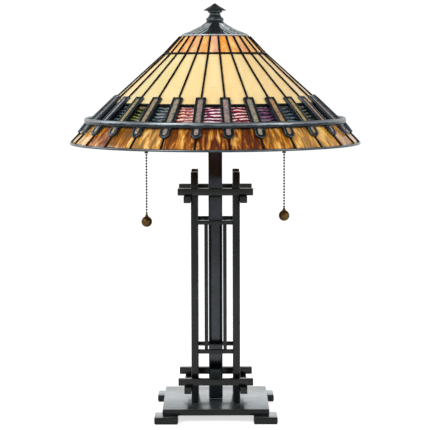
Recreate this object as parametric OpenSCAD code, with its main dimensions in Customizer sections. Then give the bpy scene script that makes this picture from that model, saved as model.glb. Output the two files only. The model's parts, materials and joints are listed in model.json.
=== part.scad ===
// Two-light table lamp with a conical leaded-glass shade on a square lattice stand.
// Origin: centre of the base, on the table. +Z up, front is -Y. Millimetres.

/* [Base] */
// Side of the square base plate
plate_w = 166; // [140:1:200]
// Thickness of the base plate
plate_t = 10; // [6:1:14]
// Side of each square foot block
foot_w = 37; // [28:1:44]
// Thickness of a foot block
foot_t = 10; // [7:1:14]
// How far a foot sticks out past the plate, both ways
foot_out = 12.5; // [6:0.5:16]
// Thickness of the rubber pad under a foot
pad_t = 1; // [0.6:0.2:2]

/* [Stand] */
// Side of the square centre column
column_w = 22; // [18:1:26]
// Wall of the column tube
column_wall = 1.6; // [1.2:0.2:2.4]
// Height of the column above the plate
column_h = 411; // [340:1:500]
// Side of a lattice post
post_w = 11; // [8:0.5:14]
// Distance between post centres
post_gap = 66; // [56:1:80]
// Height of the posts above the plate
post_h = 366; // [300:1:390]
// Side of an outer rail
rail_w = 11; // [8:0.5:14]
// Length of an outer rail
rail_len = 118; // [110:1:150]
// Height of the lower cross rails above the plate
low_rail_h = 29.5; // [28:0.5:50]
// Distance from the upper cross rails' underside to the post tops
rail_drop = 36; // [20:1:50]
// Side of a slim inner bar
bar_w = 6.5; // [5:0.5:8]
// Side of a slim upright rod
rod_w = 5.6; // [4:0.2:7]
// Height of the lower inner bars above the plate
low_bar_h = 78; // [60:1:120]
// Height of the upper inner bars above the plate
high_bar_h = 283; // [200:1:300]
// Distance between the centres of two inner rods
rod_gap = 29.6; // [20:0.2:36]

/* [Shade] */
// Number of glass panels in a row
panels = 28; // [20:1:36]
// Angle from the front to the first batten
first_batten = 5.3; // [0:0.1:12]
// Radius of the top opening
top_r = 54; // [46:1:62]
// Run and drop of the short amber row at the top
crown_run = 26; // [20:1:34]
// Drop of the amber row
crown_drop = 27.5; // [20:0.5:34]
// Run of the long cream row
cream_run = 85.5; // [70:0.5:106]
// Drop of the cream row
cream_drop = 77; // [62:1:94]
// Run of the coloured ripple band
band_run = 33; // [27:0.5:46]
// Drop of the ripple band
band_drop = 32; // [26:1:44]
// Run of the skirt
skirt_run = 30.5; // [26:0.5:38]
// Drop of the skirt
skirt_drop = 31.5; // [26:0.5:38]
// Thickness of the glass
glass_t = 3; // [2:0.2:4]
// How deep the ripple band sits behind the rest
band_recess = 3.5; // [2:0.5:5]
// Width of a solder seam
seam_w = 1.6; // [1:0.2:2.4]
// How far a solder seam stands proud
seam_proud = 1.2; // [0.6:0.2:2]
// How far the rim hangs below the column's top
rim_below = 2.5; // [0:0.5:10]

/* [Battens] */
// Width of a batten
batten_w = 16; // [11:0.5:17]
// How far a batten stands above the glass
batten_proud = 3; // [2:0.5:5]
// How far a batten's head laps the cream row
batten_lap = 14; // [3:0.5:18]
// How far a batten's tongue reaches onto the skirt
tongue_len = 21.5; // [16:0.5:26]
// Extra height of the tongue below the hoop
tongue_rise = 2.2; // [1:0.2:3]
// Width of the glass strip in a batten
strip_w = 8.6; // [6:0.2:9]
// Thickness of a glass strip
strip_t = 2; // [1.2:0.2:2.4]
// How far up the slope the hoop's foot rests, from the band's lower edge
hoop_up = 1; // [0:0.5:9]
// Radial thickness of the hoop that runs over the battens
hoop_t = 4.6; // [3:0.2:6]
// Height of the hoop's outer face
hoop_h = 6.8; // [4:0.2:8]

/* [Crown] */
// Height of the flared cap
cap_h = 23; // [16:1:30]
// Radius of the cap's neck
cap_neck_r = 13; // [11:0.5:16]
// Thickness of the cap's metal
cap_t = 2; // [1.4:0.2:3]
// Height of the finial
finial_h = 28; // [22:1:36]
// Radius of the finial's eaves
finial_r = 17.8; // [15:0.2:22]

/* [Lights] */
// Space between a bulb and the nearest glass
bulb_gap = 4; // [3:0.5:12]
// Radius of a bulb
bulb_r = 20; // [17:1:22]
// Length of a bulb's glass
bulb_len = 55; // [48:1:60]
// Length of a bulb's screw base
base_len = 24; // [20:1:26]
// Radius of a bulb's screw base
base_r = 13; // [12:0.5:13.5]
// Outer radius of a socket
socket_r = 16.8; // [16:0.2:19]
// Height of the socket axis above the column's top
socket_up = 14; // [13:1:20]

/* [Pull chains] */
// Diameter of a chain bead
bead_d = 3.2; // [2.4:0.2:3.4]
// Distance between beads
bead_pitch = 4.6; // [4:0.1:5.6]
// Beads in the left chain
left_beads = 22; // [12:1:26]
// Beads in the right chain
right_beads = 20; // [12:1:26]
// Diameter of the ball at a chain's end
ball_d = 17.4; // [12:0.2:20]

/* [Hidden] */
$fn = 48;
gap = 0.1;          // between faces of fixed parts that slip together
run_gap = 0.3;      // between parts that turn or slide on each other
pipe_r = 5;         // lamp pipe
pipe_bore_r = 3.3;  // wire way through the pipe
nut_r = 8;          // locknut across its corners
nut_t = 3;          // locknut
ease = 0.8;         // eased edge of the square bars

foot_c = plate_w / 2 + foot_out - foot_w / 2;
plate_z = pad_t + foot_t;
top_z = plate_z + plate_t;
post_c = post_gap / 2;
rail_c = post_c + (post_w + rail_w) / 2;
high_rail_h = post_h - rail_drop;
column_top = top_z + column_h;

// Shade rows, from the top opening to the rim: corner radius and height of each edge.
rim_z = column_top - rim_below + 2;
row_run = [crown_run, cream_run, band_run, skirt_run];
row_drop = [crown_drop, cream_drop, band_drop, skirt_drop];
shade_h = crown_drop + cream_drop + band_drop + skirt_drop;
shade_top = rim_z + shade_h;
function below(v, k) = k == 0 ? 0 : v[k - 1] + below(v, k - 1);
function edge_r(k) = top_r + below(row_run, k);
function edge_z(k) = shade_top - below(row_drop, k);
half_turn = 180 / panels;
panel_turn = 2 * half_turn;
function slope(k) = atan2(row_drop[k], row_run[k]);
function flat_slope(k) = atan2(row_drop[k], row_run[k] * cos(half_turn));
function row_len(k) = norm([row_drop[k], row_run[k]]);
function flat_len(k) = norm([row_drop[k], row_run[k] * cos(half_turn)]);
rim_r = edge_r(4);
end_gap = seam_w / 2 + 0.4;                       // panel end to row edge
side_gap = seam_w / 2 + 0.35;                     // panel side to corner line
rim_t = 2.9;                                      // height of the rim band
rim_gap = (glass_t * cos(slope(3)) + rim_t - 1.8) / sin(slope(3)) + 0.2;
rim_w = rim_gap * cos(slope(3)) + glass_t * sin(slope(3)) + 0.1;    // reaches in under the glass
tip_s = row_len(2) + tongue_len;                  // batten tip, from the band's upper edge
hoop_s = row_len(2) - hoop_up;                    // where the hoop's inner foot rests
tongue_s = hoop_s + 6.4;

// Crown stack
ring_h = 3;          // inner flange of the shade's top ring
cap_z = shade_top + 0.5;
cap_r = top_r - 0.2;
spider_t = 3;
spider_z = shade_top - 5.5 - spider_t - gap;
rod_r = 3;
finial_z = cap_z + cap_h;

// Sockets: bulb level, then lengths out from the centre
socket_z = column_top + socket_up;
// Where a bulb's round end may sit so that it clears row k, which is let in by depth
function bulb_centre(k, depth) = edge_r(k) * cos(half_turn)
    - (bulb_r + bulb_gap + glass_t + depth - (edge_z(k) - socket_z) * cos(flat_slope(k)))
    / sin(flat_slope(k));
bulb_tip = min(bulb_centre(2, band_recess), bulb_centre(3, 0)) + bulb_r;
shell_end = bulb_tip - bulb_len + 1;
holder_x = shell_end - base_len;
switch_len = 29;
switch_x = holder_x - switch_len - 1;
neck_len = 8;
dome_len = 14;
cap_x = switch_x - dome_len - neck_len;
chain_x = holder_x - 3.6;
shell_wall = 0.8;
bell_len = 5;
bell_r = 4.4;
link_r = 0.5;
bead_r = bead_d / 2;
bell_z = socket_z - socket_r - bell_len;
stub_z = bell_z - 4;         // lowest bead of the switch's own chain
coupling_in = bead_r + 0.5;
coupling_out = coupling_in + 0.8;
chain_z = stub_z - 4;        // top bead of the long chain
stub_beads = 6;
ball_r = ball_d / 2;
ball_drop = 5.7 + ball_r;    // last bead to the ball's centre

bronze = "#3a3b3a";
brass = "#b08d4a";
steel = "#9a9da0";

// ---- helpers ----

// Copies at the four corners of a square, centre distance c
module corners(c) {
    for (sx = [-1, 1], sy = [-1, 1])
        translate([sx * c, sy * c, 0]) children();
}

// Copies on the four sides, the first one at the front
module four_sides() {
    for (k = [0 : 3]) rotate([0, 0, 90 * k]) children();
}

// Square bar along Z with eased long edges, centred on the axis
module bar_z(w, l) {
    h = w / 2;
    e = min(ease, w / 6);
    linear_extrude(l)
        polygon([[h - e, -h], [h, e - h], [h, h - e], [h - e, h],
                 [e - h, h], [-h, h - e], [-h, e - h], [e - h, -h]]);
}

// The same bar along X, centred, with its underside at z = 0
module bar_x(w, l) {
    translate([-l / 2, 0, w / 2]) rotate([0, 90, 0]) bar_z(w, l);
}

// Places children in a row's corner-line frame: X runs down the slope, Z points out
module on_corner(k, i) {
    rotate([0, 0, first_batten - 90 + panel_turn * i])
        translate([edge_r(k), 0, edge_z(k)]) rotate([0, slope(k), 0]) children();
}

// Places children in the frame of a row's flat panel
module on_flat(k, i) {
    rotate([0, 0, first_batten - 90 + panel_turn * (i + 0.5)])
        translate([edge_r(k) * cos(half_turn), 0, edge_z(k)])
            rotate([0, flat_slope(k), 0]) children();
}

// One row of flat glass panels, each let in by depth
module glass_row(k, depth, top_end, low_end) {
    l = flat_len(k);
    h0 = edge_r(k) * sin(half_turn) - side_gap - depth * 0.1;
    h1 = edge_r(k + 1) * sin(half_turn) - side_gap - depth * 0.1;
    grow = (h1 - h0) / l;
    for (i = [0 : panels - 1])
        on_flat(k, i) translate([0, 0, -glass_t - depth]) linear_extrude(glass_t)
            polygon([[top_end, -h0 - grow * top_end], [l - low_end, -h1 + grow * low_end],
                     [l - low_end, h1 - grow * low_end], [top_end, h0 + grow * top_end]]);
}

// Ring of short straight solder bars along the upper edge of row k
module edge_ring(k, low, high) {
    h = edge_r(k) * sin(half_turn) + seam_w * 0.1;
    for (i = [0 : panels - 1])
        on_flat(k, i) translate([-seam_w / 2, -h, low]) cube([seam_w, 2 * h, high - low]);
}

// Solder bars along the corner lines of row k, from s0 to s1
module corner_seams(k, s0, s1) {
    for (i = [0 : panels - 1])
        on_corner(k, i) translate([s0, -seam_w / 2, -glass_t])
            cube([s1 - s0, seam_w, glass_t + seam_proud]);
}

// Puts a socket part, drawn along +X, on the left (-1) or the right (1)
module socket_side(side) {
    mirror([side < 0 ? 1 : 0, 0, 0]) translate([0, 0, socket_z]) rotate([0, 90, 0]) children();
}

// ---- base and stand ----

module foot_pads() {
    color("#202020") corners(foot_c) translate([-foot_w / 2 + 1, -foot_w / 2 + 1, 0])
        cube([foot_w - 2, foot_w - 2, pad_t]);
}

foot_screw_r = 2.5;
foot_screw_c = plate_w / 2 - 10;
screw_bite = 6;

module foot_screw(grow) {
    head_h = 3;
    translate([0, 0, pad_t]) cylinder(r = foot_screw_r * 1.9 + grow, h = head_h);
    translate([0, 0, pad_t + head_h - 1])
        cylinder(r = foot_screw_r + grow, h = foot_t + screw_bite - head_h + 1 + grow);
}

module foot_screws() {
    color(steel) corners(foot_screw_c) foot_screw(0);
}

module base_feet() {
    color(bronze) difference() {
        corners(foot_c) translate([0, 0, pad_t]) bar_foot();
        corners(foot_screw_c) foot_screw(gap);
    }
}

module bar_foot() {
    h = foot_w / 2;
    e = 1;
    linear_extrude(foot_t)
        polygon([[h - e, -h], [h, e - h], [h, h - e], [h - e, h],
                 [e - h, h], [-h, h - e], [-h, e - h], [e - h, -h]]);
}

post_screw_r = 2.5;
post_bite = 12;

module post_screw(grow) {
    translate([0, 0, plate_z]) cylinder(r = post_screw_r * 1.8 + grow, h = 3);
    translate([0, 0, plate_z + 2])
        cylinder(r = post_screw_r + grow, h = plate_t + post_bite - 2 + grow);
}

module post_screws() {
    color(steel) corners(post_c) post_screw(0);
}

bolt_r = 4;
bolt_bite = 6;

module column_bolt_shape(grow) {
    translate([0, 0, plate_z - 5]) cylinder(r = 7.5 + grow, h = 5, $fn = 6);
    translate([0, 0, plate_z - 1]) cylinder(r = bolt_r + grow, h = plate_t + bolt_bite + 1 + grow);
}

module column_bolt() {
    color(steel) column_bolt_shape(0);
}

module base_plate() {
    h = plate_w / 2;
    e = 1;
    color(bronze) difference() {
        translate([0, 0, plate_z]) linear_extrude(plate_t)
            polygon([[h - e, -h], [h, e - h], [h, h - e], [h - e, h],
                     [e - h, h], [-h, h - e], [-h, e - h], [e - h, -h]]);
        corners(foot_screw_c) foot_screw(gap);
        corners(post_c) post_screw(gap);
        cylinder(r = bolt_r + gap, h = top_z + 1);
    }
}

plug_w = column_w - 2 * column_wall - 2 * gap;
plug_h = 8;

module column_plug() {
    color(steel) difference() {
        translate([-plug_w / 2, -plug_w / 2, top_z]) cube([plug_w, plug_w, plug_h]);
        column_bolt_shape(gap);
    }
}

cord_z = top_z + plug_h + 8;
cord_hole_r = 3.3;
bushing_r = 4.6;

module column_tube() {
    inner = column_w - 2 * column_wall;
    color(bronze) difference() {
        translate([0, 0, top_z]) bar_z(column_w, column_h);
        translate([-inner / 2, -inner / 2, top_z - 1]) cube([inner, inner, column_h + 2]);
        translate([0, 0, cord_z]) rotate([-90, 0, 0]) cylinder(r = bushing_r + gap, h = column_w);
    }
}

module cord_bushing() {
    in_len = column_wall + 2.4;
    color("#1c1c1c") translate([0, column_w / 2, cord_z]) rotate([-90, 0, 0]) difference() {
        union() {
            cylinder(r = bushing_r + 1.8, h = 1.6);
            translate([0, 0, -in_len]) cylinder(r = bushing_r, h = in_len + 1);
        }
        translate([0, 0, -in_len - 1]) cylinder(r = cord_hole_r, h = in_len + 4);
    }
}

module lattice_posts() {
    color(bronze) difference() {
        corners(post_c) translate([0, 0, top_z]) bar_z(post_w, post_h);
        corners(post_c) post_screw(gap);
    }
}

// Long rails on the front and back, upper and lower
module cross_rails() {
    color(bronze) for (sy = [-1, 1], h = [low_rail_h, high_rail_h])
        translate([0, sy * rail_c, top_z + h]) bar_x(rail_w, rail_len);
}

// The same rails on the left and right, one rail width lower
module side_rails() {
    color(bronze) for (sx = [-1, 1], h = [low_rail_h, high_rail_h])
        translate([sx * rail_c, 0, top_z + h - rail_w]) rotate([0, 0, 90])
            bar_x(rail_w, rail_len);
}

module inner_bars() {
    color(bronze) four_sides() for (h = [low_bar_h, high_bar_h])
        translate([0, -post_c, top_z + h]) bar_x(bar_w, post_gap - post_w);
}

module inner_rods() {
    color(bronze) four_sides() for (sx = [-1, 1])
        translate([sx * rod_gap / 2, -post_c, top_z + low_bar_h + bar_w])
            bar_z(rod_w, high_bar_h - low_bar_h - bar_w);
}

// ---- pipe work above the column ----

column_cap_t = 4;
cluster_low = column_top + column_cap_t + nut_t;
cluster_high = 2 * socket_z - cluster_low;

module column_cap() {
    spigot = 6;
    color(bronze) difference() {
        union() {
            translate([0, 0, column_top]) bar_z(column_w + 3, column_cap_t);
            translate([-plug_w / 2, -plug_w / 2, column_top - spigot])
                cube([plug_w, plug_w, spigot + 1]);
        }
        translate([0, 0, column_top - spigot - 1])
            cylinder(r = pipe_r + gap, h = spigot + column_cap_t + 2);
    }
}

module pipe(z0, z1) {
    translate([0, 0, z0]) difference() {
        cylinder(r = pipe_r, h = z1 - z0);
        translate([0, 0, -1]) cylinder(r = pipe_bore_r, h = z1 - z0 + 2);
    }
}

module locknut(z) {
    color(brass) difference() {
        translate([0, 0, z]) cylinder(r = nut_r, h = nut_t, $fn = 6);
        translate([0, 0, z - 1]) cylinder(r = pipe_r + gap, h = nut_t + 2);
    }
}

module lower_nipple() {
    color(steel) pipe(column_top - 12, socket_z - pipe_r - 1);
}

module lower_locknut() {
    locknut(column_top + column_cap_t);
}

cluster_r = 17;

module cluster_body() {
    h = cluster_high - cluster_low;
    e = 4;
    color(bronze) difference() {
        translate([0, 0, cluster_low]) rotate_extrude()
            polygon([[0, 0], [cluster_r - e, 0], [cluster_r, e], [cluster_r, h - e],
                     [cluster_r - e, h], [0, h]]);
        translate([0, 0, cluster_low - 1]) cylinder(r = pipe_r + gap, h = h + 2);
        translate([-cluster_r - 1, 0, socket_z]) rotate([0, 90, 0])
            cylinder(r = pipe_r + gap, h = 2 * cluster_r + 2);
    }
}

arm_in = pipe_r + 2.5;
arm_out = cap_x + neck_len - 0.5;

module socket_arms() {
    color(bronze) for (side = [-1, 1]) socket_side(side) difference() {
        union() {
            translate([0, 0, arm_in]) cylinder(r = pipe_r, h = arm_out - arm_in);
            translate([0, 0, cluster_r + gap]) cylinder(r = pipe_r + 2.5, h = nut_t);
        }
        translate([0, 0, arm_in - 1]) cylinder(r = pipe_bore_r, h = arm_out - arm_in + 2);
    }
}

module upper_stem() {
    color(bronze) pipe(socket_z + pipe_r + 1, spider_z + spider_t + 2);
}

module spider_locknut() {
    locknut(spider_z - nut_t);
}

hub_r = 11;
arm_w = 7;
spider_r = top_r - 5;

module shade_spider() {
    color(brass) difference() {
        union() {
            translate([0, 0, spider_z]) cylinder(r = hub_r, h = spider_t);
            for (a = [0 : 90 : 270]) rotate([0, 0, a + 45])
                translate([0, -arm_w / 2, spider_z]) cube([spider_r, arm_w, spider_t]);
        }
        translate([0, 0, spider_z - 1]) cylinder(r = pipe_r + gap, h = spider_t + 2);
    }
}

coupling_z = spider_z + spider_t + gap;
coupling_h = 14;

module stem_coupling() {
    color(brass) difference() {
        translate([0, 0, coupling_z]) cylinder(r = 7, h = coupling_h);
        translate([0, 0, coupling_z - 1]) cylinder(r = pipe_r + gap, h = 3.2);
        translate([0, 0, coupling_z - 1]) cylinder(r = rod_r + gap, h = coupling_h + 2);
    }
}

rod_top = finial_z + finial_h * 0.42;

module finial_rod() {
    z0 = coupling_z + coupling_h - 9;
    color(steel) translate([0, 0, z0]) cylinder(r = rod_r, h = rod_top - z0);
}

// ---- sockets ----

module socket_cap(side) {
    r = socket_r;
    t = 1.2;
    n = pipe_r + 2;
    color(brass) socket_side(side) translate([0, 0, cap_x]) rotate_extrude()
        polygon(concat(
            [[pipe_r + gap, 0], [n, 0], [n, neck_len - 1]],
            [for (a = [0 : 15 : 90]) [n + (r - n) * sin(a),
                                      neck_len + (dome_len - 2) * (1 - cos(a)) * 0.8]],
            [[r, neck_len + dome_len - 0.2], [r - t, neck_len + dome_len - 0.2]],
            [for (a = [90 : -15 : 0]) [n + (r - t - n) * sin(a),
                                       neck_len + t + (dome_len - 2) * (1 - cos(a)) * 0.8]],
            [[pipe_r + gap, neck_len + t]]));
}

module socket_shell(side) {
    x0 = switch_x;
    color(brass) difference() {
        socket_side(side) difference() {
            union() {
                translate([0, 0, x0]) cylinder(r = socket_r, h = shell_end - x0);
                translate([0, 0, shell_end - 2.4]) cylinder(r = socket_r + 0.8, h = 2.4);
            }
            translate([0, 0, x0 - 1]) cylinder(r = socket_r - shell_wall, h = shell_end - x0 + 2);
        }
        translate([side * chain_x, 0, socket_z - socket_r - 2])
            cylinder(r = bead_r + 0.8, h = 6);
    }
}

module switch_block(side) {
    r = socket_r - shell_wall - 0.8;
    color("#2a211c") difference() {
        socket_side(side) translate([0, 0, switch_x + 0.5]) cylinder(r = r, h = switch_len);
        translate([side * chain_x, 0, bell_z]) cylinder(r = bead_r + 0.8, h = socket_r + bell_len);
    }
}

module screw_shell(side) {
    color(brass) socket_side(side) translate([0, 0, holder_x]) difference() {
        cylinder(r = base_r + run_gap + 0.7, h = base_len - 1);
        translate([0, 0, 0.8]) cylinder(r = base_r + run_gap, h = base_len);
    }
}

// Bell that guides the chain out of the shell, cut to sit on its round side
module chain_bell(side) {
    color(brass) difference() {
        translate([side * chain_x, 0, bell_z]) rotate_extrude()
            polygon([[bead_r + 0.8, 0], [bell_r + 0.6, 0], [bell_r, 1.4], [bell_r - 1, bell_len],
                     [bell_r - 1, bell_len + 1.4], [bead_r + 0.8, bell_len + 1.4]]);
        translate([side * (chain_x - 10), 0, socket_z]) rotate([0, side * 90, 0])
            cylinder(r = socket_r + gap / 2, h = 20);
    }
}

// ---- bulbs ----

module bulb_base(side) {
    color(steel) socket_side(side) translate([0, 0, holder_x + 1]) union() {
        cylinder(r1 = 4, r2 = 8, h = 2);
        translate([0, 0, 2]) cylinder(r1 = 8, r2 = base_r, h = 3);
        translate([0, 0, 5]) cylinder(r = base_r, h = base_len - 5);
    }
}

// Outline of a bulb with neck radius n: an eased neck, then a round end
function bulb_line(n, r, l) = concat(
    [for (u = [0 : 0.125 : 1]) [n + (r - n) * (1 - cos(180 * u)) / 2, (l - r) * u]],
    [for (a = [15 : 15 : 75]) [r * cos(a), l - r + r * sin(a)]]);

module bulb_glass(side) {
    wall = 0.9;
    n = base_r - 0.6;
    out = bulb_line(n, bulb_r, bulb_len);
    in = bulb_line(n - wall, bulb_r - wall, bulb_len - wall);
    last = len(in) - 1;
    color("#f4efe2") socket_side(side) translate([0, 0, holder_x + 1 + base_len])
        rotate_extrude()
            polygon(concat(out, [[0, bulb_len], [0, bulb_len - wall]],
                           [for (k = [last : -1 : 0]) in[k]]));
}

// ---- pull chains ----

module beads(x, z_top, n, tail) {
    color(brass) translate([x, 0, 0]) {
        for (k = [0 : n - 1]) translate([0, 0, z_top - k * bead_pitch]) sphere(r = bead_r);
        translate([0, 0, z_top - (n - 1) * bead_pitch - tail])
            cylinder(r = link_r, h = (n - 1) * bead_pitch + tail);
    }
}

module pull_stub(side) {
    beads(side * chain_x, stub_z + (stub_beads - 1) * bead_pitch, stub_beads, 0);
}

module coupling(side) {
    color(brass) translate([side * chain_x, 0, chain_z - 2]) difference() {
        cylinder(r = coupling_out, h = stub_z - chain_z + 4);
        translate([0, 0, -1]) cylinder(r = coupling_in, h = stub_z - chain_z + 6);
    }
}

module bead_chain(side, n) {
    beads(side * chain_x, chain_z, n, bead_r + 2.6);
}

module chain_ball(side, n) {
    z = chain_z - (n - 1) * bead_pitch - ball_drop;
    neck_top = ball_r + 5.7 - bead_r - gap;
    color(brass) translate([side * chain_x, 0, z]) difference() {
        union() {
            sphere(r = ball_r);
            cylinder(r = 2.2, h = neck_top);
        }
        translate([0, 0, ball_r]) cylinder(r = link_r + gap, h = 10);
    }
}

// ---- shade ----

module shade_top_ring() {
    low = shade_top - 5.5;
    color(brass) rotate_extrude()
        polygon([[top_r - 9, low], [top_r - 2.6, low], [top_r - 3.6, low + 2.4],
                 [top_r - 3.6, cap_z], [top_r - 5.4, cap_z], [top_r - 5.4, low + 2.4],
                 [top_r - 9, low + 2.4]]);
}

module crown_glass() {
    color("#e0863c") glass_row(0, 0, 0.4, end_gap);
}

module cream_glass() {
    color("#efd9a0") glass_row(1, 0, end_gap, end_gap);
}

module band_glass() {
    color("#a3343c") glass_row(2, band_recess, end_gap, end_gap);
}

module skirt_glass() {
    color("#a8631c") glass_row(3, 0, end_gap, rim_gap);
}

module solder_seams() {
    color(bronze) {
        corner_seams(0, 1.4, row_len(0) - end_gap);
        corner_seams(1, end_gap + 0.4, row_len(1) - batten_lap - 0.6);
        corner_seams(3, tongue_len + 0.8, row_len(3) - rim_gap);
    }
}

module row_seams() {
    color(bronze) {
        edge_ring(1, -glass_t, seam_proud);
        edge_ring(2, -glass_t - band_recess, 0);
        edge_ring(3, -glass_t - band_recess, 0);
    }
}

// Side view of a batten: a lapping head, a body let down into the band, a raised tongue
batten_side = [
    [-batten_lap, gap], [end_gap + 0.2, gap], [end_gap + 0.2, 0.4 - band_recess],
    [row_len(2) - end_gap - 0.4, 0.4 - band_recess], [row_len(2) - end_gap - 0.4, 0.4],
    [tip_s, 0.4], [tip_s, 1.6], [tip_s - 6, batten_proud],
    [tongue_s + 3, batten_proud + tongue_rise], [tongue_s, batten_proud],
    [-batten_lap, batten_proud]];
strip_s = [-batten_lap + 3, hoop_s - 1.5];
tongue_strip_s = [tongue_s + 2.5, tip_s - 5.5];

module batten_outline() {
    h = batten_w / 2;
    e = 1.5;
    polygon([[-batten_lap, e - h], [e - batten_lap, -h], [tip_s - 5, -h], [tip_s, -2.2],
             [tip_s, 2.2], [tip_s - 5, h], [e - batten_lap, h], [-batten_lap, h - e]]);
}

// Line of the tongue's sloping face
function tongue_line(s) = batten_proud
    + tongue_rise * (tip_s - 6 - s) / (tip_s - 9 - tongue_s);

module batten_frames() {
    h = strip_w / 2;
    color(bronze) for (i = [0 : panels - 1]) on_corner(2, i) difference() {
        intersection() {
            rotate([90, 0, 0]) translate([0, 0, -batten_w / 2]) linear_extrude(batten_w)
                polygon(batten_side);
            translate([0, 0, -10]) linear_extrude(20) batten_outline();
        }
        translate([strip_s[0], -h, batten_proud - strip_t - 0.5])
            cube([strip_s[1] - strip_s[0], strip_w, 10]);
        translate([tongue_strip_s[0], -h + 0.8, batten_proud - strip_t])
            cube([tongue_strip_s[1] - tongue_strip_s[0], strip_w - 1.6, 10]);
    }
}

module batten_glass() {
    h = strip_w / 2 - gap;
    s0 = tongue_strip_s[0] + gap;
    s1 = tongue_strip_s[1] - gap;
    low = batten_proud - strip_t + gap / 2;
    color("#b9a37c") for (i = [0 : panels - 1]) on_corner(2, i) {
        translate([strip_s[0] + gap, -h, batten_proud - strip_t - 0.5])
            cube([strip_s[1] - strip_s[0] - 2 * gap, 2 * h, strip_t]);
        rotate([90, 0, 0]) translate([0, 0, 0.8 - h]) linear_extrude(2 * h - 1.6)
            polygon([[s0, low], [s1, low], [s1, tongue_line(s1) - 0.6],
                     [s0, tongue_line(s0) - 0.6]]);
    }
}

// Point of the batten frame in radius and height
function batten_point(s, n) = [
    edge_r(2) + s * cos(slope(2)) + n * sin(slope(2)),
    edge_z(2) - s * sin(slope(2)) + n * cos(slope(2))];

// A batten's flat top stands clear of the round hoop by this much more at its middle
hoop_sag = batten_w * batten_w / 8 / (edge_r(2) + hoop_s * cos(slope(2))) * sin(slope(2));

module gallery_hoop() {
    lift = batten_proud + gap / 2 + hoop_sag;
    foot = batten_point(hoop_s, lift);
    toe = batten_point(hoop_s + 5.2, lift);
    out_r = foot[0] + 2.3 + hoop_t;
    color(bronze) rotate_extrude()
        polygon([foot, toe, [out_r, toe[1] + 2.5], [out_r + 0.1, toe[1] + 2.5 + hoop_h * 0.6],
                 [out_r - 1, toe[1] + 2.5 + hoop_h], [out_r - hoop_t + 1, toe[1] + 2.5 + hoop_h]]);
}

module rim_band() {
    z = rim_z - 1.8;
    color(bronze) rotate_extrude()
        polygon([[rim_r - rim_w, z], [rim_r, z], [rim_r + 0.6, z + 0.8], [rim_r + 0.6, z + rim_t - 0.8],
                 [rim_r, z + rim_t - gap], [rim_r - rim_w, z + rim_t - gap]]);
}

// ---- cap and finial ----

function bend(a, b, c, u) = (1 - u) * (1 - u) * a + 2 * u * (1 - u) * b + u * u * c;

// The flared line from the neck to the rim, moved in by d
function cap_line(d) = [for (u = [0 : 0.125 : 1]) [
    bend(cap_neck_r, cap_neck_r + 7, cap_r, u) - d,
    cap_z + 1.6 + (cap_h - 1.6) * bend(1, 0.53, 0, u) - d]];

module vented_cap() {
    out = cap_line(0);
    in = cap_line(cap_t);
    last = len(in) - 1;
    color(bronze) rotate_extrude()
        polygon(concat([[rod_r + run_gap, finial_z]], out,
                       [[cap_r, cap_z], [cap_r - 5.8, cap_z], [cap_r - 5.8, in[last][1]]],
                       [for (k = [last - 1 : -1 : 0]) in[k]],
                       [[rod_r + run_gap, in[0][1]]]));
}

module finial() {
    s = finial_h / 28;
    color(bronze) translate([0, 0, finial_z]) difference() {
        rotate_extrude()
            polygon([[0, 0], [13, 0], [13.6, 1.6 * s], [13.6, 5.4 * s], [11.4, 6.6 * s],
                     [9.2, 9.4 * s], [8.4, 10 * s], [8.4, 12.4 * s], [11.2, 14.6 * s],
                     [11.4, 16 * s], [finial_r, 16.6 * s], [finial_r, 17.4 * s],
                     [finial_r * 0.55, 22 * s], [1.6, 27.6 * s], [0, 28 * s]]);
        translate([0, 0, -1]) cylinder(r = rod_r + run_gap, h = finial_h * 0.42 + 2);
    }
}

foot_pads();
base_feet();
foot_screws();
base_plate();
post_screws();
column_plug();
column_bolt();
column_tube();
cord_bushing();
lattice_posts();
cross_rails();
side_rails();
inner_bars();
inner_rods();
column_cap();
lower_nipple();
lower_locknut();
cluster_body();
socket_arms();
socket_cap(-1);  // left_socket_cap
socket_shell(-1);  // left_socket_shell
switch_block(-1);  // left_switch_block
screw_shell(-1);  // left_screw_shell
chain_bell(-1);  // left_chain_bell
socket_cap(1);  // right_socket_cap
socket_shell(1);  // right_socket_shell
switch_block(1);  // right_switch_block
screw_shell(1);  // right_screw_shell
chain_bell(1);  // right_chain_bell
bulb_base(-1);  // left_bulb_base
bulb_glass(-1);  // left_bulb_glass
bulb_base(1);  // right_bulb_base
bulb_glass(1);  // right_bulb_glass
pull_stub(-1);  // left_pull_stub
coupling(-1);  // left_coupling
bead_chain(-1, left_beads);  // left_bead_chain
chain_ball(-1, left_beads);  // left_chain_ball
pull_stub(1);  // right_pull_stub
coupling(1);  // right_coupling
bead_chain(1, right_beads);  // right_bead_chain
chain_ball(1, right_beads);  // right_chain_ball
upper_stem();
spider_locknut();
shade_spider();
stem_coupling();
finial_rod();
shade_top_ring();
crown_glass();
cream_glass();
band_glass();
skirt_glass();
solder_seams();
row_seams();
batten_frames();
batten_glass();
gallery_hoop();
rim_band();
vented_cap();
finial();
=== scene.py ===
# Studio scene for the two-light stained glass table lamp. Everything is modelled in millimetres
# and written to the meshes in metres.
import json
import math
import random

import bmesh
import bpy
from mathutils import Matrix, Vector, noise


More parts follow.
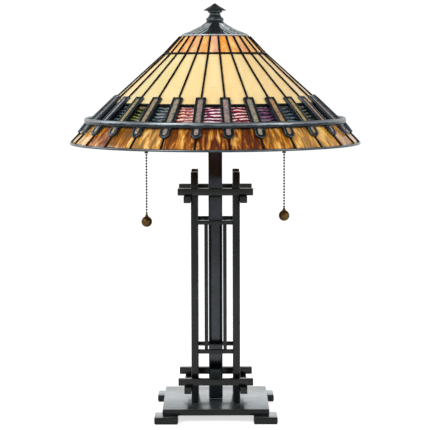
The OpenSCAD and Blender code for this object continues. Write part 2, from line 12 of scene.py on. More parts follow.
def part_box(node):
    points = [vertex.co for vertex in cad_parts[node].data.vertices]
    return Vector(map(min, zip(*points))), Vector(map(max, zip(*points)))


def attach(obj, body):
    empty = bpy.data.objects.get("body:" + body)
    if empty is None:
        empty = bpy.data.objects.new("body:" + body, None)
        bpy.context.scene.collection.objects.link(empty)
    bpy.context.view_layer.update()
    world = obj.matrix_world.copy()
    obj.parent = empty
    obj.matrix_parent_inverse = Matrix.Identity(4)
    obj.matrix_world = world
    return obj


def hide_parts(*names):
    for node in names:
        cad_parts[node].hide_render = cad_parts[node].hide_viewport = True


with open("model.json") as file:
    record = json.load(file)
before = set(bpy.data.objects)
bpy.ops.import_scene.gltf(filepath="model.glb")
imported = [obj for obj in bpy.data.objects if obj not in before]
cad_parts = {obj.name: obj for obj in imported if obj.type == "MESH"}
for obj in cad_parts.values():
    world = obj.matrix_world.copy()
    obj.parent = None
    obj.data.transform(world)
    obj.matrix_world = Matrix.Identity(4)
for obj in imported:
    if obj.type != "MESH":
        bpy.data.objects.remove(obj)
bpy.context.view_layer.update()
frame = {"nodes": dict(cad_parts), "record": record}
mm = 0.001


# camera, floor and lights
studio = dict(distance=2346, eyeHeight=562, lookHeight=315.5, span=685, pitch=4.2, roll=0.15, sensor=36,
              floorTone="f6f6f5", floorGlow=0.62, horizon=1.02, ceiling=0.26)


def tint(code):  # a web colour as linear light
    parts = [int(code[k:k + 2], 16) / 255 for k in (0, 2, 4)]
    return [c / 12.92 if c <= 0.04045 else ((c + 0.055) / 1.055) ** 2.4 for c in parts] + [1.0]


def makeCamera(s):
    data = bpy.data.cameras.new("studioCamera")
    camera = bpy.data.objects.new("studioCamera", data)
    bpy.context.scene.collection.objects.link(camera)
    pitch = math.radians(s["pitch"])
    drop = s["eyeHeight"] - s["lookHeight"]
    offAxis = math.atan2(drop, s["distance"]) - pitch
    depth = math.hypot(drop, s["distance"]) * math.cos(offAxis)
    data.sensor_width = s["sensor"]
    data.lens = s["sensor"] * depth / s["span"]
    data.shift_y = -math.tan(offAxis) * depth / s["span"]
    camera.location = (0, -s["distance"] * mm, s["eyeHeight"] * mm)
    camera.rotation_euler = (math.pi / 2 - pitch, math.radians(s["roll"]), 0)
    bpy.context.scene.camera = camera


def areaLight(name, place, aim, size, watts, tone="ffffff"):
    data = bpy.data.lights.new(name, "AREA")
    data.shape = "RECTANGLE"
    data.size, data.size_y = size
    data.energy = watts
    data.color = tint(tone)[:3]
    lamp = bpy.data.objects.new(name, data)
    bpy.context.scene.collection.objects.link(lamp)
    lamp.location = place
    lamp.rotation_mode = "QUATERNION"
    lamp.rotation_quaternion = (Vector(aim) - Vector(place)).to_track_quat("-Z", "Y")


def makeStudio(s):
    scene = bpy.context.scene
    scene.view_settings.view_transform = "Standard"
    world = bpy.data.worlds.new("paleRoom")
    scene.world = world
    world.use_nodes = True
    tree = world.node_tree
    background = tree.nodes["Background"]
    background.inputs["Color"].default_value = tint("ffffff")
    heading = tree.nodes.new("ShaderNodeTexCoord")
    split = tree.nodes.new("ShaderNodeSeparateXYZ")
    fall = tree.nodes.new("ShaderNodeMapRange")
    tree.links.new(heading.outputs["Generated"], split.inputs["Vector"])
    tree.links.new(split.outputs["Z"], fall.inputs["Value"])
    reach = {"From Min": 0.3, "From Max": 0.75, "To Min": s["horizon"], "To Max": s["ceiling"]}
    for key, number in reach.items():
        fall.inputs[key].default_value = number
    tree.links.new(fall.outputs["Result"], background.inputs["Strength"])
    areaLight("keyLight", (-1.3, -1.5, 1.7), (0, 0, 0.4), (1.2, 1.2), 26)
    areaLight("fillLight", (1.6, -1.2, 1.0), (0, 0, 0.4), (0.9, 1.4), 12)
    areaLight("sideLight", (-1.9, 0.5, 1.3), (0, 0, 0.5), (0.8, 1.2), 9)


makeCamera(studio)
makeStudio(studio)
print("camera and lights are set")


# node helpers
def startMaterial(name, rough, metal=0.0, specular=0.5, coat=0.0, coatRough=0.1):
    material = bpy.data.materials.new(name)
    material.use_nodes = True
    shader = material.node_tree.nodes["Principled BSDF"]
    shader.inputs["Roughness"].default_value = rough
    shader.inputs["Metallic"].default_value = metal
    shader.inputs["Specular IOR Level"].default_value = specular
    shader.inputs["Coat Weight"].default_value = coat
    shader.inputs["Coat Roughness"].default_value = coatRough
    return material, material.node_tree, shader


def addNode(tree, kind, links=None, **settings):
    node = tree.nodes.new(kind)
    for key, value in settings.items():
        setattr(node, key, value)
    for key, value in (links or {}).items():
        if isinstance(value, bpy.types.NodeSocket):
            tree.links.new(value, node.inputs[key])
        else:
            node.inputs[key].default_value = value
    return node


def objectPlace(tree, scale=(1, 1, 1), turn=(0, 0, 0)):
    place = addNode(tree, "ShaderNodeTexCoord").outputs["Object"]
    return addNode(tree, "ShaderNodeMapping",
                   {"Vector": place, "Scale": scale, "Rotation": turn}).outputs["Vector"]


def cutPlace(tree, scale=(1, 1, 1)):  # across and along a piece of glass
    place = addNode(tree, "ShaderNodeUVMap", uv_map="cut").outputs["UV"]
    return addNode(tree, "ShaderNodeMapping", {"Vector": place, "Scale": scale}).outputs["Vector"]


def value(tree, name):
    return addNode(tree, "ShaderNodeAttribute", attribute_name=name).outputs["Fac"]


def grain(tree, place, scale, detail=3.0, rough=0.55, bend=0.0):
    node = addNode(tree, "ShaderNodeTexNoise", {"Vector": place, "Scale": scale, "Detail": detail,
                                                "Roughness": rough, "Distortion": bend})
    return node.outputs["Fac"]


def ramp(tree, factor, stops, blend="LINEAR"):
    node = addNode(tree, "ShaderNodeValToRGB", {"Fac": factor})
    band = node.color_ramp
    band.interpolation = blend
    while len(band.elements) < len(stops):
        band.elements.new(0.5)
    for element, (place, code) in zip(band.elements, stops):
        element.position = place
        element.color = tint(code)
    return node.outputs["Color"]


def mix(tree, factor, a, b, blend="MIX"):
    node = addNode(tree, "ShaderNodeMix", data_type="RGBA", blend_type=blend)
    for index, item in ((0, factor), (6, a), (7, b)):
        if isinstance(item, bpy.types.NodeSocket):
            tree.links.new(item, node.inputs[index])
        else:
            node.inputs[index].default_value = item
    return node.outputs[2]


def span(tree, source, low, high, outLow=0.0, outHigh=1.0):
    return addNode(tree, "ShaderNodeMapRange",
                   {"Value": source, "From Min": low, "From Max": high, "To Min": outLow,
                    "To Max": outHigh}).outputs["Result"]


def calc(tree, operation, a, b=0.0):
    node = addNode(tree, "ShaderNodeMath", {0: a, 1: b}, operation=operation)
    return node.outputs[0]


def finishMaterial(tree, shader, colour, rough=None, bump=None, bumpDepth=0.0002, strength=0.5):
    tree.links.new(colour, shader.inputs["Base Color"])
    if rough is not None:
        tree.links.new(rough, shader.inputs["Roughness"])
    if bump is not None:
        lift = addNode(tree, "ShaderNodeBump", {"Height": bump, "Distance": bumpDepth, "Strength": strength})
        tree.links.new(lift.outputs["Normal"], shader.inputs["Normal"])


# metal, plastic and rubber finishes
def metalFinish(name, dark, light, worn, rough, metal, grainSize=900, bumpDepth=0.00008, specular=0.5,
                coat=0.0):
    material, tree, shader = startMaterial(name, rough, metal, specular, coat, 0.14)
    place = objectPlace(tree)
    cloud = grain(tree, place, 38, 4, 0.6)
    speck = grain(tree, place, grainSize, 2, 0.6)
    base = ramp(tree, cloud, [(0.3, dark), (0.68, light)])
    fleck = span(tree, grain(tree, place, 210, 5, 0.7, 0.6), 0.6, 0.78)
    colour = mix(tree, calc(tree, "MULTIPLY", fleck, 0.45), base, tint(worn))
    roughness = span(tree, cloud, 0.3, 0.7, rough * 0.85, rough * 1.2)
    finishMaterial(tree, shader, colour, roughness, speck, bumpDepth, 0.5)
    return material


darkBronze = metalFinish("darkBronze", "121413", "1b1e1d", "2c2c26", 0.28, 0.95, 900, 0.00002, 0.5, 0.3)
columnBronze = metalFinish("columnBronze", "171b1f", "262c31", "3d4348", 0.15, 0.95, 900, 0.00001, 0.5, 0.45)
castBronze = metalFinish("castBronze", "262b2d", "4b5254", "8b9396", 0.32, 0.95, 420, 0.0001)
gunmetal = metalFinish("gunmetal", "262b2f", "454d53", "98a1a8", 0.26, 0.95, 500, 0.00006)
solderFinish = metalFinish("solderPatina", "040505", "0b0c0c", "1c1e20", 0.45, 0.6, 500, 0.00015, 0.3)
agedBrass = metalFinish("agedBrass", "4f3c20", "8d6f3e", "c2a468", 0.3, 1.0, 700, 0.00006)
antiqueBrass = metalFinish("antiqueBrass", "2c2213", "5a4626", "a1854e", 0.3, 1.0, 700, 0.00006)
chainMetal = metalFinish("chainMetal", "262522", "403e39", "7d786c", 0.32, 1.0, 900, 0.00005)
zincSteel = metalFinish("zincSteel", "8d9092", "bdbfc0", "d8dadb", 0.3, 1.0, 800, 0.00005)
blackPlastic = metalFinish("blackPlastic", "141414", "1f1f1f", "2c2c2c", 0.5, 0.0, 1200, 0.00006)
padRubber = metalFinish("padRubber", "101010", "1b1b1b", "262626", 0.8, 0.0, 1500, 0.0001, 0.3)


def plateFinish(name):  # dark sides, and tops painted paler: a painted reflection of the bright room on the upward faces
    material, tree, shader = startMaterial(name, 0.24, 0.95, 0.5, 0.3, 0.2)
    normal = addNode(tree, "ShaderNodeTexCoord").outputs["Normal"]
    facing = addNode(tree, "ShaderNodeSeparateXYZ", {"Vector": normal})
    cloud = grain(tree, objectPlace(tree), 38, 4, 0.6)
    side = ramp(tree, cloud, [(0.3, "0b0d0e"), (0.68, "121516")])
    top = ramp(tree, cloud, [(0.3, "848c91"), (0.68, "a0a8ad")])
    colour = mix(tree, span(tree, facing.outputs["Z"], 0.6, 0.95), side, top)
    finishMaterial(tree, shader, colour, None, grain(tree, objectPlace(tree), 900, 2), 0.000004, 0.5)
    return material


plateBronze = plateFinish("plateBronze")


def paintedSheenFinish(name, low, high, dark, bright):  # painted shade below and a painted highlight along the top, set by height
    material, tree, shader = startMaterial(name, 0.3, 0.95)
    height = addNode(tree, "ShaderNodeSeparateXYZ", {"Vector": objectPlace(tree)}).outputs["Z"]
    cloud = grain(tree, objectPlace(tree), 60, 4, 0.6)
    wander = calc(tree, "ADD", height, span(tree, cloud, 0.3, 0.7, (low - high) * 0.12, (high - low) * 0.12))
    colour = ramp(tree, span(tree, wander, low, high), [(0, dark), (0.48, dark), (0.62, bright), (1, bright)])
    finishMaterial(tree, shader, colour, None, grain(tree, objectPlace(tree), 500, 2), 0.00008, 0.5)
    return material


print("metal finishes are mixed")


# glass finishes; each glass also emits its own colour, a painted glow standing in for light shining through it
paintedGlow = dict(crown=0.12, cream=0.16, band=0.06, skirt=0.1, strip=0.05)


def glassFinish(name, rough, paintedGlowStrength, paint):
    material, tree, shader = startMaterial(name, rough, 0, 0.4, 0.2, 0.1)
    # painted glow: the glass emits its own colour though nothing lights it from behind
    shader.inputs["Emission Strength"].default_value = paintedGlowStrength
    colour, bump, depth = paint(tree)
    tree.links.new(colour, shader.inputs["Emission Color"])
    finishMaterial(tree, shader, colour, None, bump, depth, 0.6)
    return material


def crownPaint(tree):  # peach, pink and amber pieces with soft clouds
    piece = ramp(tree, value(tree, "tone"),
                 [(0, "cf968a"), (0.3, "df9230"), (0.55, "e4ac5c"), (0.8, "dc8850"), (1, "dfa97c")])
    cloud = grain(tree, cutPlace(tree, (60, 26, 1)), 1, 4, 0.6, 0.8)
    warm = mix(tree, span(tree, cloud, 0.44, 0.66, 0, 0.85), piece, tint("efc684"))
    streak = grain(tree, cutPlace(tree, (200, 40, 1)), 1, 3, 0.6, 1.2)
    colour = mix(tree, span(tree, streak, 0.5, 0.72, 0, 0.7), warm, tint("bf5c3c"))
    return colour, streak, 0.0003


def creamPaint(tree):  # pale honey with faint feathering across the piece
    piece = ramp(tree, value(tree, "tone"), [(0, "d6c68e"), (0.35, "e2c88e"), (0.7, "e6c688"), (1, "dab278")])
    cloud = grain(tree, cutPlace(tree, (32, 12, 1)), 1, 4, 0.55, 0.6)
    light = mix(tree, span(tree, cloud, 0.45, 0.72, 0, 0.8), piece, tint("ecd6a6"))
    feather = grain(tree, cutPlace(tree, (30, 320, 1)), 1, 3, 0.6, 1.6)
    patch = span(tree, grain(tree, cutPlace(tree, (22, 9, 1)), 1, 2), 0.5, 0.66)
    veil = calc(tree, "MULTIPLY", span(tree, feather, 0.48, 0.7, 0, 0.6), patch)
    colour = mix(tree, veil, light, tint("b98f52"))
    return colour, feather, 0.00018


def bandPaint(tree):  # rippled pieces in their own colours, with a painted highlight on the crests and painted shade in the troughs
    tone = value(tree, "tone")
    deep = ramp(tree, tone, [(0, "3a0c2a"), (0.2, "560d10"), (0.4, "170f16"), (0.6, "0d110b"), (0.8, "0e1113"),
                             (1, "15100c")])
    rich = ramp(tree, tone, [(0, "ad2f62"), (0.2, "c81c12"), (0.4, "43203c"), (0.6, "2f3515"), (0.8, "20282c"),
                             (1, "4a3218")])
    crest = ramp(tree, tone, [(0, "fff0f0"), (0.2, "fbe3c8"), (0.4, "84507a"), (0.6, "848b42"), (0.8, "5f7380"),
                              (1, "a5854e")])
    wave = value(tree, "wave")
    wander = grain(tree, cutPlace(tree, (80, 110, 1)), 1, 3, 0.6, 1.2)
    lift = calc(tree, "ADD", wave, span(tree, wander, 0.3, 0.7, -0.4, 0.4))
    lower = mix(tree, span(tree, lift, 0.2, 0.5), deep, rich)
    colour = mix(tree, span(tree, lift, 0.7, 0.86), lower, crest)
    return colour, wander, 0.0002


def skirtPaint(tree):  # gold, amber and brown streaks that run down the slope
    flow = cutPlace(tree, (130, 24, 1))
    streak = grain(tree, flow, 1, 5, 0.6, 1.1)
    broad = grain(tree, cutPlace(tree, (48, 14, 1)), 1.2, 2, 0.5, 1.0)
    both = calc(tree, "ADD", calc(tree, "MULTIPLY", streak, 0.66), calc(tree, "MULTIPLY", broad, 0.34))
    tone = value(tree, "tone")
    both = calc(tree, "ADD", both, span(tree, tone, 0, 1, -0.04, 0.028))
    amber = ramp(tree, both, [(0.4, "260d02"), (0.45, "5e2c08"), (0.5, "a5651a"), (0.545, "d29334"),
                              (0.6, "f3cf86")])
    piece = ramp(tree, tone,
                 [(0, "6e2a0a"), (0.25, "94480e"), (0.5, "b4761e"), (0.75, "d0a766"), (1, "f0b818")])
    colour = mix(tree, 0.3, amber, piece)
    return colour, streak, 0.00035


def stripPaint(tree):  # small iridescent strips let into the battens
    piece = ramp(tree, value(tree, "tone"),
                 [(0, "7d6f72"), (0.25, "8c7d3c"), (0.5, "6f7a8c"), (0.75, "94664a"), (1, "9a8640")])
    cloud = grain(tree, objectPlace(tree), 160, 4, 0.65, 1.0)
    cool = mix(tree, span(tree, cloud, 0.48, 0.7, 0, 0.8), piece, tint("434a62"))
    spark = grain(tree, objectPlace(tree), 330, 3, 0.6, 0.5)
    colour = mix(tree, span(tree, spark, 0.5, 0.68, 0, 0.75), cool, tint("d0b088"))
    return colour, spark, 0.0002


crownGlass = glassFinish("crownGlass", 0.22, paintedGlow["crown"], crownPaint)
creamGlass = glassFinish("creamGlass", 0.2, paintedGlow["cream"], creamPaint)
bandGlass = glassFinish("bandGlass", 0.12, paintedGlow["band"], bandPaint)
skirtGlass = glassFinish("skirtGlass", 0.18, paintedGlow["skirt"], skirtPaint)
stripGlass = glassFinish("stripGlass", 0.16, paintedGlow["strip"], stripPaint)
print("glass finishes are mixed")


# mesh helpers
def buildMesh(name, verts, faces, material, sharp=38, floats=None, cut=None):
    mesh = bpy.data.meshes.new(name)
    mesh.from_pydata([Vector(v) * mm for v in verts], [], faces)
    for key, numbers in (floats or {}).items():
        mesh.attributes.new(key, "FLOAT", "POINT").data.foreach_set("value", numbers)
    if cut:
        layer = mesh.uv_layers.new(name="cut")
        for loop in mesh.loops:
            layer.data[loop.index].uv = cut[loop.vertex_index]
    mesh.materials.append(material)
    mesh.shade_smooth()
    mesh.set_sharp_from_angle(angle=math.radians(sharp))
    piece = bpy.data.objects.new(name, mesh)
    bpy.context.scene.collection.objects.link(piece)
    return piece


def outwards(piece):
    work = bmesh.new()
    work.from_mesh(piece.data)
    bmesh.ops.remove_doubles(work, verts=work.verts, dist=1e-6)
    bmesh.ops.recalc_face_normals(work, faces=work.faces)
    work.to_mesh(piece.data)
    work.free()


def settle(piece, body, slot, *nodes):
    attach(piece, body)
    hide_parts(*nodes)


def lathe(profile, turns, shift=None):
    # rings of a closed outline (radius, height) turned about the axis; shift moves a ring point
    verts, faces = [], []
    count = len(profile)
    for i in range(turns):
        angle = 2 * math.pi * i / turns
        for j, (r, z) in enumerate(profile):
            dr, dz = shift(angle, j) if shift else (0, 0)
            verts.append(((r + dr) * math.cos(angle), (r + dr) * math.sin(angle), z + dz))
    for i in range(turns):
        a, b = i * count, (i + 1) % turns * count
        for j in range(count):
            k = (j + 1) % count
            faces.append((a + j, b + j, b + k, a + k))
    return verts, faces


def roundedRect(halfLong, halfWide, corner, steps, waist=None):
    # one turn of a rounded rectangle from the +long side; waist adds a point to each long side there
    corner = min(corner, halfLong, halfWide)
    points = []
    for cx, cy, start in ((1, 1, 0), (-1, 1, 90), (-1, -1, 180), (1, -1, 270)):
        for k in range(steps + 1):
            a = math.radians(start + 90 * k / steps)
            points.append((cx * (halfLong - corner) + corner * math.cos(a),
                           cy * (halfWide - corner) + corner * math.sin(a)))
        if waist is not None and cx == cy:
            points.append((min(waist, halfLong - corner), cy * halfWide))
    return points


def stackLoops(loops, closeFirst=True, closeLast=True):
    # skins a list of equal loops of points, in order, and caps the ends
    verts = [p for loop in loops for p in loop]
    count = len(loops[0])
    faces = []
    for level in range(len(loops) - 1):
        a, b = level * count, (level + 1) * count
        for j in range(count):
            k = (j + 1) % count
            faces.append((a + j, a + k, b + k, b + j))
    if closeFirst:
        faces.append(tuple(range(count - 1, -1, -1)))
    if closeLast:
        faces.append(tuple(range((len(loops) - 1) * count, len(loops) * count)))
    return verts, faces


# geometry node helpers
def startTree(name, inputs):
    tree = bpy.data.node_groups.new(name, "GeometryNodeTree")
    for label, kind, default in inputs:
        socket = tree.interface.new_socket(label, in_out="INPUT", socket_type=kind)
        if default is not None:
            socket.default_value = default
    tree.interface.new_socket("Geometry", in_out="OUTPUT", socket_type="NodeSocketGeometry")
    return tree, addNode(tree, "NodeGroupInput").outputs, addNode(tree, "NodeGroupOutput")


def endTree(tree, out, geometry, material):
    real = addNode(tree, "GeometryNodeRealizeInstances", {"Geometry": geometry})
    paint = addNode(tree, "GeometryNodeSetMaterial", {"Geometry": real.outputs[0], "Material": material})
    tree.links.new(paint.outputs[0], out.inputs[0])


def bakeTree(piece, tree, settings, sharp=38):
    # runs a tree on a piece with its inputs set, and keeps the result as a plain mesh
    modifier = piece.modifiers.new(tree.name, "NODES")
    modifier.node_group = tree
    for item in tree.interface.items_tree:
        if item.in_out == "INPUT" and item.name in settings:
            modifier[item.identifier] = settings[item.name]
    view = bpy.context.evaluated_depsgraph_get()
    done = bpy.data.meshes.new_from_object(piece.evaluated_get(view))
    piece.modifiers.remove(modifier)
    piece.data = done
    piece.data.shade_smooth()
    piece.data.set_sharp_from_angle(angle=math.radians(sharp))
    return piece


# the shade's own geometry
shade = dict(panels=28, firstBatten=5.3, topRadius=54, runs=(26, 85.5, 33, 30.5), drops=(27.5, 77, 32, 31.5),
             glass=3, bandRecess=3.5, rimBelow=1.8)
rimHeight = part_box("rim_band")[0].z / mm + shade["rimBelow"]
shadeTop = rimHeight + sum(shade["drops"])
halfTurn = math.pi / shade["panels"]


def edgeRadius(row):
    return shade["topRadius"] + sum(shade["runs"][:row])


def edgeHeight(row):
    return shadeTop - sum(shade["drops"][:row])


def rowLength(row):
    return math.hypot(shade["runs"][row], shade["drops"][row])


def flatLength(row):
    return math.hypot(shade["runs"][row] * math.cos(halfTurn), shade["drops"][row])


def cornerPlace(row, index):  # x runs down the corner line and z points out
    turn = math.radians(shade["firstBatten"] - 90) + 2 * halfTurn * index
    slope = math.atan2(shade["drops"][row], shade["runs"][row])
    return (Matrix.Rotation(turn, 4, "Z") @ Matrix.Translation((edgeRadius(row), 0, edgeHeight(row)))
            @ Matrix.Rotation(slope, 4, "Y"))


def flatPlace(row, index):  # x runs down the middle of a flat panel and z points out
    turn = math.radians(shade["firstBatten"] - 90) + 2 * halfTurn * (index + 0.5)
    slope = math.atan2(shade["drops"][row], shade["runs"][row] * math.cos(halfTurn))
    return (Matrix.Rotation(turn, 4, "Z")
            @ Matrix.Translation((edgeRadius(row) * math.cos(halfTurn), 0, edgeHeight(row)))
            @ Matrix.Rotation(slope, 4, "Y"))


def hanging(tones, seed):  # a tone for every panel, listed one by one near the front
    rng = random.Random(seed)
    count = shade["panels"]
    return [tones.get(i, tones.get(i - count, rng.random())) for i in range(count)]


# panel 0 is the first to the right of the middle of the front, and panel -1 is the one to its left
rows = [
    dict(name="crownGlass", node="crown_glass", material=crownGlass, row=0, top=0.4, low=1.0, recess=0,
         across=6, along=10, swell=0.25, seed=3,
         tones={-6: 0.5, -5: 0.58, -4: 0.7, -3: 0.95, -2: 0.62, -1: 0.04, 0: 0.3, 1: 0.42, 2: 0.9, 3: 0.5,
                4: 0.55, 5: 0.6}),
    dict(name="creamGlass", node="cream_glass", material=creamGlass, row=1, top=1.0, low=1.0, recess=0,
         across=7, along=26, swell=0.35, seed=5,
         tones={-5: 0.02, -4: 0.12, -3: 0.3, -2: 0.62, -1: 0.5, 0: 0.68, 1: 0.4, 2: 0.75, 3: 0.55, 4: 0.9}),
    dict(name="bandGlass", node="band_glass", material=bandGlass, row=2, top=1.0, low=1.0,
         recess=shade["bandRecess"], across=9, along=80, swell=0.1, seed=8, ripple=1.2, pitch=6.2,
         tones={-6: 0.9, -5: 0.78, -4: 0.6, -3: 0.8, -2: 0.2, -1: 0.0, 0: 0.09, 1: 0.4, 2: 0.8, 3: 0.72,
                4: 0.66, 5: 0.85}),
    dict(name="skirtGlass", node="skirt_glass", material=skirtGlass, row=3, top=1.0, low=3.6, recess=0,
         across=8, along=12, swell=0.3, seed=13,
         tones={-7: 1.0, -6: 0.78, -5: 0.25, -4: 0.5, -3: 0.72, -2: 0.3, -1: 0.02, 0: 0.08, 1: 0.5, 2: 0.8,
                3: 0.9, 4: 0.7, 5: 0.45, 6: 0.4}),
]
ground = dict(side=1.0, roundOver=0.7)  # each pane stops short of the corner line, with a softened edge


def makePanelRow(s):
    row = s["row"]
    length = flatLength(row)
    grow = (edgeRadius(row + 1) - edgeRadius(row)) * math.sin(halfTurn) / length
    start, end = s["top"], length - s["low"]
    verts, faces, tone, wave, cut = [], [], [], [], []
    tones = hanging(s["tones"], s["seed"])
    across, along = s["across"], s["along"]
    for index in range(shade["panels"]):
        place = flatPlace(row, index)
        base = len(verts)
        for side in (0, 1):
            for j in range(along + 1):
                for i in range(across + 1):
                    u, v = 2 * i / across - 1, j / along
                    down = start + (end - start) * v
                    half = edgeRadius(row) * math.sin(halfTurn) - ground["side"] + grow * down
                    border = i in (0, across) or j in (0, along)
                    seedAt = Vector((u * half * 0.05, down * 0.05, index * 7.7))
                    rise = s["swell"] * noise.noise(seedAt)
                    crest = 0.5
                    if "ripple" in s:
                        wander = 1.6 * noise.noise(Vector((u * 1.3, down * 0.06, index * 3.1 + 40)))
                        phase = 2 * math.pi * down / s["pitch"] + 2.2 * wander + index
                        crest = 0.5 + 0.5 * math.sin(phase)
                        rise += s["ripple"] * (crest ** 0.8 - 0.6)
                    height = rise - (ground["roundOver"] if border else 0) if side == 0 else -shade["glass"]
                    verts.append(place @ Vector((down, u * half, height - s["recess"])))
                    tone.append(tones[index])
                    wave.append(crest)
                    cut.append((u * half * mm + index * 0.531, down * mm + index * 0.173))
        sheet = (along + 1) * (across + 1)

        def spot(side, i, j):
            return base + side * sheet + j * (across + 1) + i

        for j in range(along):
            for i in range(across):
                faces.append((spot(0, i, j), spot(0, i, j + 1), spot(0, i + 1, j + 1), spot(0, i + 1, j)))
                faces.append((spot(1, i, j), spot(1, i + 1, j), spot(1, i + 1, j + 1), spot(1, i, j + 1)))
        for i in range(across):
            faces.append((spot(0, i, 0), spot(0, i + 1, 0), spot(1, i + 1, 0), spot(1, i, 0)))
            faces.append((spot(0, i + 1, along), spot(0, i, along),
                          spot(1, i, along), spot(1, i + 1, along)))
        for j in range(along):
            faces.append((spot(0, 0, j + 1), spot(0, 0, j), spot(1, 0, j), spot(1, 0, j + 1)))
            faces.append((spot(0, across, j), spot(0, across, j + 1),
                          spot(1, across, j + 1), spot(1, across, j)))
    piece = buildMesh(s["name"], verts, faces, s["material"], 50, {"tone": tone, "wave": wave}, cut)
    settle(piece, "shade", s["node"], s["node"])


for rowSettings in rows:
    makePanelRow(rowSettings)
print("glass rows are cut")


# solder
solder = dict(radius=1.6, unevenness=0.2, lumpSize=120, step=2.2, sides=8, lift=0.1, batLap=14.6, tongue=21.5)


def solderTree():
    tree, given, out = startTree("solderRun", [
        ("Geometry", "NodeSocketGeometry", None), ("Radius", "NodeSocketFloat", 0.001),
        ("Unevenness", "NodeSocketFloat", 0.2), ("Lump Scale", "NodeSocketFloat", 120.0),
        ("Step", "NodeSocketFloat", 0.002), ("Sides", "NodeSocketInt", 8),
        ("Material", "NodeSocketMaterial", None)])
    run = addNode(tree, "GeometryNodeMeshToCurve", {"Mesh": given["Geometry"]})
    even = addNode(tree, "GeometryNodeResampleCurve", {"Curve": run.outputs[0], "Length": given["Step"]},
                   mode="LENGTH")
    lumps = addNode(tree, "ShaderNodeTexNoise", {"Scale": given["Lump Scale"], "Detail": 2.0})
    signed = addNode(tree, "ShaderNodeMath", {0: lumps.outputs["Fac"], 1: 0.5}, operation="SUBTRACT")
    swing = addNode(tree, "ShaderNodeMath", {0: signed.outputs[0], 1: given["Unevenness"]},
                    operation="MULTIPLY")
    size = addNode(tree, "ShaderNodeMath", {0: swing.outputs[0], 1: 1.0}, operation="ADD")
    sized = addNode(tree, "GeometryNodeSetCurveRadius", {"Curve": even.outputs[0], "Radius": size.outputs[0]})
    ring = addNode(tree, "GeometryNodeCurvePrimitiveCircle",
                   {"Resolution": given["Sides"], "Radius": given["Radius"]})
    skin = addNode(tree, "GeometryNodeCurveToMesh",
                   {"Curve": sized.outputs[0], "Profile Curve": ring.outputs[0], "Fill Caps": True})
    if "Scale" in skin.inputs:
        tree.links.new(size.outputs[0], skin.inputs["Scale"])
    endTree(tree, out, skin.outputs[0], given["Material"])
    return tree


def makeRun(name, lines, radius, *nodes):
    verts, edges = [], []
    for line, closed in lines:
        base = len(verts)
        verts += [Vector(p) * mm for p in line]
        edges += [(base + k, base + k + 1) for k in range(len(line) - 1)]
        if closed:
            edges.append((base + len(line) - 1, base))
    mesh = bpy.data.meshes.new(name)
    mesh.from_pydata(verts, edges, [])
    piece = bpy.data.objects.new(name, mesh)
    bpy.context.scene.collection.objects.link(piece)
    bakeTree(piece, solderRun, {"Radius": radius * mm, "Unevenness": solder["unevenness"] * 2,
                                "Lump Scale": float(solder["lumpSize"]), "Step": solder["step"] * mm,
                                "Sides": solder["sides"], "Material": solderFinish}, 60)
    outwards(piece)
    settle(piece, "shade", "solder", *nodes)


def onCorner(row, index, down, height):
    return cornerPlace(row, index) @ Vector((down, 0, height))


solderRun = solderTree()
panelRange = range(shade["panels"])
lift = solder["lift"]
seams = []
for index in panelRange:
    for row, start, end in ((0, 1.5, rowLength(0)), (1, 0, rowLength(1) - solder["batLap"]),
                            (3, solder["tongue"] - 1, rowLength(3) - 2.6)):
        seams.append(([onCorner(row, index, down, lift) for down in (start, end)], False))
makeRun("solderSeams", seams, solder["radius"], "solder_seams")
rings = []
for row in (1, 2, 3):
    for depth in ((lift,) if row == 1 else (lift, -2.4)):
        rings.append(([onCorner(row, index, 0, depth) for index in panelRange], True))
makeRun("rowSeams", rings, solder["radius"] + 0.15, "row_seams")
print("solder is run")


# battens with their glass strips
batten = dict(width=16, lap=14, hoopAt=1, tongue=23, headLift=3.8, hoopLift=4.4, tongueLift=6.0, tipLift=3.8,
              seat=0.4, edge=1.3, window=8.6, windowDepth=2.2, steps=5)
hoopDown = rowLength(2) - batten["hoopAt"]
tipDown = rowLength(2) + batten["tongue"]


def loopAt(centre, halfLong, halfWide, corner, heightOf, taper=None):
    points = []
    waist = taper[0] - centre if taper else 0
    for x, y in roundedRect(halfLong, halfWide, corner, batten["steps"], waist):
        down = centre + x
        if taper and down > taper[0]:
            y *= 1 - (1 - taper[2]) * min(1, (down - taper[0]) / (taper[1] - taper[0]))
        points.append((down, y, heightOf(down)))
    return points


def battenPart(start, end, under, topAt, window, taper=None):
    # a block with a softened upper edge and one glazed recess
    centre, half = (start + end) / 2, (end - start) / 2
    wide = batten["width"] / 2
    edge = batten["edge"]
    wCentre, wHalf = (window[0] + window[1]) / 2, (window[1] - window[0]) / 2
    wWide = window[2] / 2
    shape = [
        loopAt(centre, half, wide, 1.4, lambda d: under, taper),
        loopAt(centre, half, wide, 1.4, lambda d: topAt(d) - edge, taper),
        loopAt(centre, half - edge * 0.15, wide - edge * 0.15, 1.4, lambda d: topAt(d) - edge * 0.5, taper),
        loopAt(centre, half - edge * 0.5, wide - edge * 0.5, 1.2, lambda d: topAt(d) - edge * 0.14, taper),
        loopAt(centre, half - edge, wide - edge, 1.0, topAt, taper),
        loopAt(wCentre, wHalf + 0.5, wWide + 0.5, wWide, topAt),
        loopAt(wCentre, wHalf + 0.1, wWide + 0.1, wWide, lambda d: topAt(d) - 0.4),
        loopAt(wCentre, wHalf, wWide, wWide, lambda d: topAt(d) - batten["windowDepth"]),
    ]
    return stackLoops(shape)


